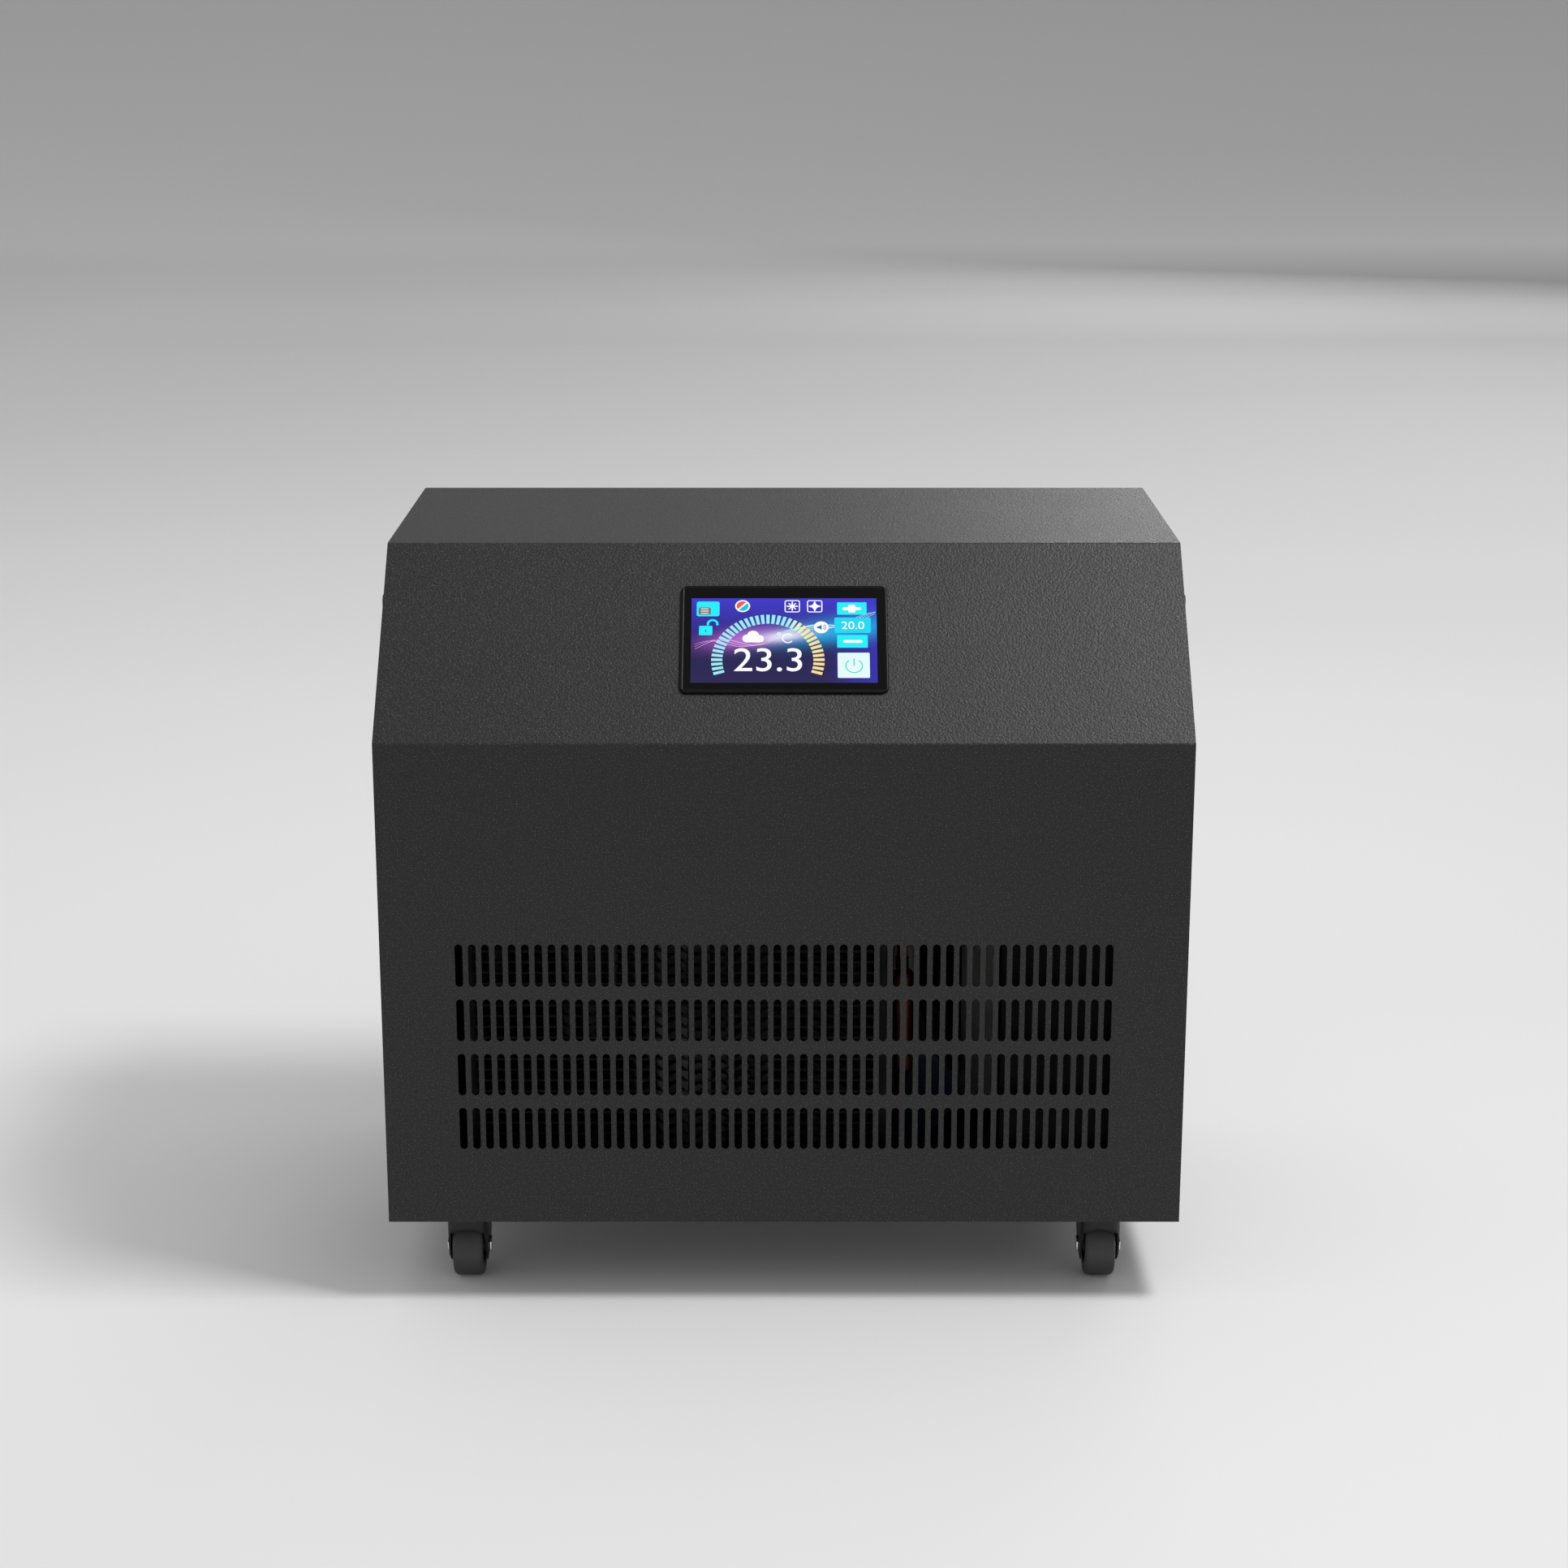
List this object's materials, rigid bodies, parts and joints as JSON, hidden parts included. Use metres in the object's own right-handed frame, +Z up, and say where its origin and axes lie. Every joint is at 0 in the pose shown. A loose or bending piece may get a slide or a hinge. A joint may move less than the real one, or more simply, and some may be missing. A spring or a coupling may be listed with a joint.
{
  "type": "water chiller",
  "caption": "Sheet-metal recirculating water chiller with a slotted front, a sloped touch display and swivel casters.",
  "frame": {"origin": "on the floor, below the middle of the part's overall box", "axes": "+X to the part's own width, towards the control box; -Y is the slotted front; +Z up"},
  "size_m": [0.6784, 0.4466, 0.63],
  "materials": {
    "cabinet_paint": "orange-peel powder coat",
    "pan_paint": "black powder coat",
    "handle_plastic": "moulded black",
    "bezel_plastic": "glossy black",
    "screen": "lit touch display",
    "circuit": "green circuit board",
    "condenser_metal": "black epoxy coat",
    "fin_metal": "black epoxy coat on thin fins",
    "guard_paint": "dipped black wire",
    "motor_metal": "cast",
    "blade_paint": "satin black",
    "compressor_paint": "gloss black enamel",
    "winding": "enamelled copper",
    "machined_steel": "machined",
    "screw_steel": "blackened zinc",
    "rubber": "soft rubber",
    "vessel_plastic": "grey-white moulding",
    "titanium": "titanium tube",
    "copper": "copper tube",
    "brass": "turned",
    "pump_plastic": "glass-filled",
    "impeller_plastic": "natural",
    "pump_paint": "blue enamel",
    "hose": "reinforced hose",
    "cap_plastic": "moulded black",
    "inlet_plastic": "moulded black",
    "box_metal": "dark grey paint",
    "caster_steel": "black plated",
    "bolt_steel": "zinc",
    "fork_plastic": "black nylon",
    "chrome": "polished",
    "hub_plastic": "dark nylon",
    "tyre": "dark rubber"
  },
  "bodies": {
    "cabinet": {"base_pan": "pan_paint", "front_cover": "cabinet_paint", "left_side_panel": "cabinet_paint", "right_side_panel": "cabinet_paint", "rear_panel": "cabinet_paint", "left_handle": "handle_plastic", "right_handle": "handle_plastic", "panel_screws": "screw_steel", "display_bezel": "bezel_plastic", "display_glass": "screen", "display_board": "circuit", "condenser_tubes": "condenser_metal", "condenser_fins": "fin_metal", "fan_guard": "guard_paint", "fan_motor": "motor_metal", "compressor_shell": "compressor_paint", "compressor_stator": "winding", "compressor_block": "machined_steel", "compressor_accumulator": "compressor_paint", "compressor_feet": "rubber", "heat_exchanger_shell": "vessel_plastic", "heat_exchanger_coil": "titanium", "filter_drier": "copper", "expansion_valve": "brass", "discharge_pipe": "copper", "liquid_pipe": "copper", "suction_pipe": "copper", "pump_housing": "pump_plastic", "pump_motor": "pump_paint", "inlet_hose": "hose", "pump_hose": "hose", "outlet_hose": "hose", "water_fittings": "brass", "drain_fitting": "brass", "control_box": "box_metal", "control_box_lid": "box_metal", "control_board": "circuit", "power_inlet": "inlet_plastic", "caster_plates": "caster_steel", "caster_bolts": "bolt_steel"},
    "fan_rotor": {"fan_blade": "blade_paint"},
    "compressor_shaft": {"compressor_rotor": "machined_steel"},
    "pump_rotor": {"pump_impeller": "impeller_plastic"},
    "drain_closure": {"drain_cap": "cap_plastic"},
    "front_left_caster": {"front_left_fork": "fork_plastic", "front_left_axle": "chrome"},
    "front_left_wheel": {"front_left_hub": "hub_plastic", "front_left_tyre": "tyre"},
    "front_right_caster": {"front_right_fork": "fork_plastic", "front_right_axle": "chrome"},
    "front_right_wheel": {"front_right_hub": "hub_plastic", "front_right_tyre": "tyre"},
    "rear_left_caster": {"rear_left_fork": "fork_plastic", "rear_left_axle": "chrome"},
    "rear_left_wheel": {"rear_left_hub": "hub_plastic", "rear_left_tyre": "tyre"},
    "rear_right_caster": {"rear_right_fork": "fork_plastic", "rear_right_axle": "chrome"},
    "rear_right_wheel": {"rear_right_hub": "hub_plastic", "rear_right_tyre": "tyre"}
  },
  "joints": [
    {"name": "fan_spin", "type": "hinge", "parent": "cabinet", "child": "fan_rotor", "pos_m": [-0.092, 0.15725, 0.352], "axis": [0, 1, 0], "continuous": true},
    {"name": "compressor_spin", "type": "hinge", "parent": "cabinet", "child": "compressor_shaft", "pos_m": [-0.19, -0.03325, 0.2], "axis": [0, 0, 1], "continuous": true},
    {"name": "pump_spin", "type": "hinge", "parent": "cabinet", "child": "pump_rotor", "pos_m": [0.11, 0.07675, 0.135], "axis": [0, 1, 0], "continuous": true},
    {"name": "drain_cap_turn", "type": "hinge", "parent": "cabinet", "child": "drain_closure", "pos_m": [0.235, 0.20925, 0.115], "axis": [0, 1, 0], "continuous": true},
    {"name": "front_left_swivel", "type": "hinge", "parent": "cabinet", "child": "front_left_caster", "pos_m": [-0.273, -0.14525, 0.06], "axis": [0, 0, 1], "continuous": true},
    {"name": "front_left_roll", "type": "hinge", "parent": "front_left_caster", "child": "front_left_wheel", "pos_m": [-0.273, -0.16425, 0.027], "axis": [1, 0, 0], "continuous": true},
    {"name": "front_right_swivel", "type": "hinge", "parent": "cabinet", "child": "front_right_caster", "pos_m": [0.273, -0.14525, 0.06], "axis": [0, 0, 1], "continuous": true},
    {"name": "front_right_roll", "type": "hinge", "parent": "front_right_caster", "child": "front_right_wheel", "pos_m": [0.273, -0.16425, 0.027], "axis": [1, 0, 0], "continuous": true},
    {"name": "rear_left_swivel", "type": "hinge", "parent": "cabinet", "child": "rear_left_caster", "pos_m": [-0.273, 0.12075, 0.06], "axis": [0, 0, 1], "continuous": true},
    {"name": "rear_left_roll", "type": "hinge", "parent": "rear_left_caster", "child": "rear_left_wheel", "pos_m": [-0.273, 0.10175, 0.027], "axis": [1, 0, 0], "continuous": true},
    {"name": "rear_right_swivel", "type": "hinge", "parent": "cabinet", "child": "rear_right_caster", "pos_m": [0.273, 0.12075, 0.06], "axis": [0, 0, 1], "continuous": true},
    {"name": "rear_right_roll", "type": "hinge", "parent": "rear_right_caster", "child": "rear_right_wheel", "pos_m": [0.273, 0.10175, 0.027], "axis": [1, 0, 0], "continuous": true}
  ]
}
